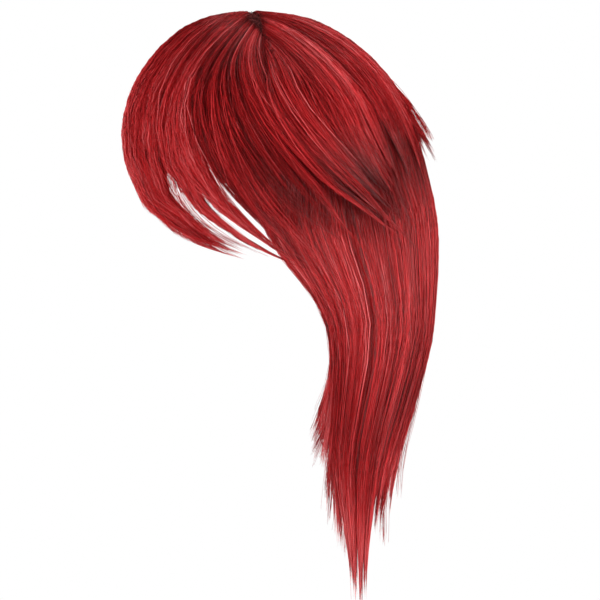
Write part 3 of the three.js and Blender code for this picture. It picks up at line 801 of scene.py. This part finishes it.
for order, (node, (layers, strands, segments, style)) in enumerate(HAIR_PIECES.items()):
    rng = np.random.default_rng(SEED + order)
    shell = Shell(node + "_hair")
    for guides, rows in layers:
        for lock in rows:
            gaps = fringe_gaps(lock, guides["mirror"]) if style is FRINGE_STYLE else PLAIN_GAPS
            gaps = LONG_GAPS.get(lock, PLAIN_GAPS) if style is LONG_STYLE else gaps
            reach = guides["reach"] if guides["mirror"] < 0 else 1.0
            ends = dict(ragged=guides["ragged"][lock], body_end=guides["body_end"][lock])
            grow_lock(shell, rng, guides, lock, gaps, strands, segments, {**style, **ends}, reach)
    for wisp in WISPS.get(node, []):
        grow_wisp(shell, rng, layers[0][0], wisp)
    piece = shell.finish(HAIR)
    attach(piece, "root")
    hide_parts(node)

PARTING_HAIR = hair_material(
    "parting_roots",
    [
        (0.0, (0.012, 0.003, 0.003)),
        (0.35, (0.040, 0.007, 0.007)),
        (0.7, (0.085, 0.012, 0.012)),
        (1.0, (0.300, 0.070, 0.070)),
    ],
    roughness=0.7,
    gloss_level=0.1,
)

# The parting strip over the top of the head: half its width at the top and at its ends, and how it lies
STRIP_TOP, STRIP_END, STRIP_FALL, STRIP_HALF = 8.0, 2.5, 16.0, 0.6
STRIP_CLEAR, STRIP_CURVE, STRIP_CRUMPLE = 0.35, 230, 0.25
STRIP_LIFT = CAP_WALL + STRIP_CLEAR + STRIP_HALF
STRIP_SECTIONS, STRIP_POINTS = 81, 9
# At the very top the line's direction turns to the head's own front and back
LEAST_DOWN, TOP_BLEND = 0.5, (4, 18)
# Knotted roots on it: over half in a tuft on each side, in degrees down, taller there and further down
KNOTS, KNOT_SAMPLES = 700, 8
TUFT_SHARE, TUFT_RANGE, KNOT_RANGE = 0.55, (20, 36), (18, 58)
TUFT_AT, TUFT_REACH, TUFT_POWER, TUFT_HEIGHT, TUFT_LEAN = 27, 8, 4, 3.5, 4.0
KNOT_HEIGHT, KNOT_SLOPE, LOW_KNOT_HEIGHT, LOW_KNOTS = 8.5, 0.12, 5.0, (34, 46)
KNOT_ACROSS = 2.2


def strip_half_width(down):
    return STRIP_END + (STRIP_TOP - STRIP_END) * np.exp(-((np.asarray(down) / STRIP_FALL) ** 2))


def strip_point(down, side, across, lift):
    """A point by the parting: degrees down on one side of the head, millimetres behind the line, and lift."""
    reach = np.maximum(HEAD_L * np.sin(np.radians(np.maximum(down, LEAST_DOWN))), 1.0)
    base = head_point(np.maximum(down, LEAST_DOWN), side * PARTING_ROUND, lift)
    ahead, after = (head_point(down + LEAST_DOWN, side * (PARTING_ROUND + k), lift) for k in (-1, 1))
    off_top = smoothstep(reach, *TOP_BLEND)[..., None]
    behind = unit(unit(after - ahead) * off_top + np.array([0, 1.0, 0]) * (1 - off_top))
    drop = -(np.asarray(across) ** 2 / STRIP_CURVE)[..., None] * outward(base)
    return base + behind * np.asarray(across)[..., None] + drop


rng = np.random.default_rng(SEED + 50)
shell = Shell("parting_strip_roots")
along = np.linspace(-PARTING_END, PARTING_END, STRIP_SECTIONS)[:, None]
edge = np.concatenate([np.linspace(-1, 1, STRIP_POINTS), np.linspace(1, -1, STRIP_POINTS)])[None, :]
top = np.concatenate([np.ones(STRIP_POINTS), -np.ones(STRIP_POINTS)])[None, :]
top = top * np.sqrt(np.clip(1 - 0.9 * edge**2, 0.1, 1))
crumple = STRIP_CRUMPLE * rng.normal(0, 1, (STRIP_SECTIONS, 2 * STRIP_POINTS)) * (top > 0)
rings = strip_point(
    np.abs(along) * np.ones_like(edge),
    np.where(along < 0, -1, 1) * np.ones_like(edge),
    edge * strip_half_width(along),
    STRIP_LIFT + STRIP_HALF * top + crumple,
)
shell.body(rings, 0.3)
in_tuft = rng.random(KNOTS) < TUFT_SHARE
spread = np.where(in_tuft, rng.uniform(*TUFT_RANGE, KNOTS), rng.uniform(*KNOT_RANGE, KNOTS))[:, None]
side = np.where(rng.random(KNOTS) < 0.5, -1, 1)[:, None]
s = stations(KNOT_SAMPLES)
tuft = np.exp(-(((spread - TUFT_AT) / TUFT_REACH) ** TUFT_POWER))
u = rng.uniform(-1, 1, KNOTS)[:, None]
tallest = KNOT_HEIGHT + KNOT_SLOPE * spread + TUFT_HEIGHT * tuft
tallest = tallest + LOW_KNOT_HEIGHT * smoothstep(spread, *LOW_KNOTS)
height = rng.uniform(0.75, 1, KNOTS)[:, None] * tallest
curl = rng.uniform(0.5, 1.5, KNOTS)[:, None]
turns = rng.uniform(0.5, 1.6, KNOTS)[:, None]
phase = rng.uniform(0, 2 * math.pi, KNOTS)[:, None]
lean = rng.normal(0, 1, KNOTS)[:, None] * (1.5 + 2.0 * tuft) - TUFT_LEAN * tuft
swirl = phase + 2 * math.pi * turns * s
down = spread + 0.6 * (curl * np.sin(swirl) + rng.normal(0, 2.5, (KNOTS, 1)) * s)
across = KNOT_ACROSS * u + lean * s**1.5 + curl * (np.cos(swirl) - np.cos(phase))
lift = STRIP_LIFT + height * np.sin(math.pi * np.minimum(0.75 * s + 0.02, 1)) ** 0.8
paths = strip_point(np.abs(down), side * np.ones_like(s), across, lift)
radii = rng.uniform(0.14, 0.3, KNOTS)[:, None] * (1 - 0.6 * s)
tone = np.clip(rng.normal(0.45, 0.3, KNOTS)[:, None] + 0.15 * s, 0, 1)
shell.tubes(paths, radii, tone, rng.uniform(0, 2, KNOTS))
piece = shell.finish(PARTING_HAIR)
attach(piece, "root")
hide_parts("parting_strip")


NET_STOPS = [(0.0, (0.115, 0.012, 0.014)), (0.16, (0.070, 0.008, 0.009)), (0.5, (0.014, 0.003, 0.003))]
NET_SCALE, NET_UNEVEN, NET_RAISED = 420, 0.35, 0.0006


def net_material(name):
    """A knitted net: small open cells between threads, darker in the cells, with raised threads."""
    m = bpy.data.materials.new(name)
    m.use_nodes = True
    nodes, links = m.node_tree.nodes, m.node_tree.links
    bsdf = nodes["Principled BSDF"]
    where = nodes.new("ShaderNodeTexCoord")
    cells = nodes.new("ShaderNodeTexVoronoi")
    cells.feature = "DISTANCE_TO_EDGE"
    cells.inputs["Scale"].default_value = NET_SCALE
    cells.inputs["Randomness"].default_value = NET_UNEVEN
    links.new(where.outputs["Object"], cells.inputs["Vector"])
    ramp = ramp_node(nodes, NET_STOPS)
    links.new(cells.outputs["Distance"], ramp.inputs["Fac"])
    links.new(ramp.outputs["Color"], bsdf.inputs["Base Color"])
    wear = nodes.new("ShaderNodeTexNoise")
    wear.inputs["Scale"].default_value = 60
    links.new(where.outputs["Object"], wear.inputs["Vector"])
    rough = nodes.new("ShaderNodeMapRange")
    rough.inputs["To Min"].default_value = 0.7
    rough.inputs["To Max"].default_value = 0.95
    links.new(wear.outputs["Fac"], rough.inputs["Value"])
    links.new(rough.outputs["Result"], bsdf.inputs["Roughness"])
    bump = nodes.new("ShaderNodeBump")
    bump.inputs["Strength"].default_value = 0.6
    bump.inputs["Distance"].default_value = NET_RAISED
    bump.invert = True
    links.new(cells.outputs["Distance"], bump.inputs["Height"])
    links.new(bump.outputs["Normal"], bsdf.inputs["Normal"])
    return m


# The cap: a wall with sewn weft rows on its inside, below the top, and a rolled band along its edge
CAP_SIDES, CAP_RINGS = 96, 42
WEFT_STEP, WEFT_RIDGE, WEFT_SHARP, WEFT_FROM = 11.0, 0.55, 6, (20, 26)
BAND_HALF, BAND_THICK, BAND_SIDES = 3.6, 1.0, 10
net = net_material("cap_net")
turn = np.arange(CAP_SIDES) * 360 / CAP_SIDES
edge_down = smooth_table(CAP_EDGE["round"], CAP_EDGE["down"], np.minimum(turn, 360 - turn))[None, :]
share = np.linspace(0.004, 1, CAP_RINGS)[:, None]
down = share * edge_down
ridge = np.clip(np.cos(2 * math.pi * down / WEFT_STEP), 0, 1) ** WEFT_SHARP
weft = WEFT_RIDGE * ridge * smoothstep(down, *WEFT_FROM)
inside = head_point(down, turn[None, :], -weft)
outside = head_point(down, turn[None, :], CAP_WALL)[::-1]
shell = Shell("wig_cap_net")
shell.body(np.concatenate([inside, outside])[:, ::-1], 0.5)
rim = 2 * math.pi * np.arange(BAND_SIDES + 1)[:, None] / BAND_SIDES
spin = np.degrees(BAND_HALF * np.cos(rim) / HEAD_H)
band_lift = CAP_WALL / 2 + (CAP_WALL / 2 + BAND_THICK) * np.sin(rim)
band = head_point(edge_down - np.degrees(BAND_HALF / HEAD_H) + spin, turn[None, :], band_lift)
shell.hoop(band.transpose(1, 0, 2)[:, :-1], 0.5)
piece = shell.finish(net)
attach(piece, "root")
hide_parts("wig_cap")

# Stage: a white floor below the tips that throws no light on the hair
FLOOR_Z = -1.0
bpy.ops.mesh.primitive_plane_add(size=8, location=(0, 0, FLOOR_Z))
floor = bpy.context.object
floor.name = "floor"
paint = bpy.data.materials.new("floor_white")
paint.use_nodes = True
floor_look = paint.node_tree.nodes["Principled BSDF"].inputs
floor_look["Base Color"].default_value = (0.92, 0.92, 0.92, 1)
floor_look["Roughness"].default_value = 0.9
floor_look["Emission Color"].default_value = (1, 1, 1, 1)
floor_look["Emission Strength"].default_value = 1.0
floor.data.materials.append(paint)
floor.visible_diffuse = False
floor.visible_glossy = False

# A white surround that lights the hair only softly
WORLD_LIGHT = 0.1
world = bpy.data.worlds.new("studio")
world.use_nodes = True
sky_nodes, sky_links = world.node_tree.nodes, world.node_tree.links
soft = sky_nodes["Background"]
soft.inputs["Color"].default_value = (1, 1, 1, 1)
soft.inputs["Strength"].default_value = WORLD_LIGHT
white = sky_nodes.new("ShaderNodeBackground")
white.inputs["Color"].default_value = (1, 1, 1, 1)
rays = sky_nodes.new("ShaderNodeLightPath")
mix = sky_nodes.new("ShaderNodeMixShader")
sky_links.new(rays.outputs["Is Camera Ray"], mix.inputs["Fac"])
sky_links.new(soft.outputs["Background"], mix.inputs[1])
sky_links.new(white.outputs["Background"], mix.inputs[2])
sky_links.new(mix.outputs["Shader"], sky_nodes["World Output"].inputs["Surface"])
bpy.context.scene.world = world

AIM = Vector((0.0, 0.040, -0.2184))


def area_light(name, place_at, size, power, glossy=True):
    data = bpy.data.lights.new(name, "AREA")
    data.shape = "DISK"
    data.size = size
    data.energy = power
    light = bpy.data.objects.new(name, data)
    light.location = place_at
    light.visible_glossy = glossy
    light.rotation_euler = (AIM - Vector(place_at)).to_track_quat("-Z", "Y").to_euler()
    bpy.context.scene.collection.objects.link(light)


area_light("key", (1.0, 1.3, -0.15), 0.9, 28)
area_light("low", (1.2, 0.5, -0.95), 0.9, 20)
area_light("top", (0.3, 0.5, 1.5), 0.9, 11)
area_light("fill", (0.8, -1.6, -0.3), 1.0, 39, False)
area_light("back", (-1.3, 0.8, 1.0), 1.0, 14, False)
area_light("front", (1.8, 0.0, 0.1), 1.0, 3, False)
area_light("far", (-1.5, -0.5, -0.1), 1.0, 22, False)

# Camera on the wearer's left, level with the middle of the hair
DISTANCE, ELEVATION, VIEW_WIDTH, SENSOR = 1.9, 0.5, 0.48, 36
camera_data = bpy.data.cameras.new("camera")
camera_data.sensor_width = SENSOR
camera_data.lens = SENSOR * DISTANCE / VIEW_WIDTH
camera = bpy.data.objects.new("camera", camera_data)
raised = math.radians(ELEVATION)
camera.location = AIM + DISTANCE * Vector((math.cos(raised), 0, math.sin(raised)))
camera.rotation_euler = (AIM - camera.location).to_track_quat("-Z", "Y").to_euler()
bpy.context.scene.collection.objects.link(camera)
bpy.context.scene.camera = camera
bpy.context.scene.view_settings.view_transform = "Standard"
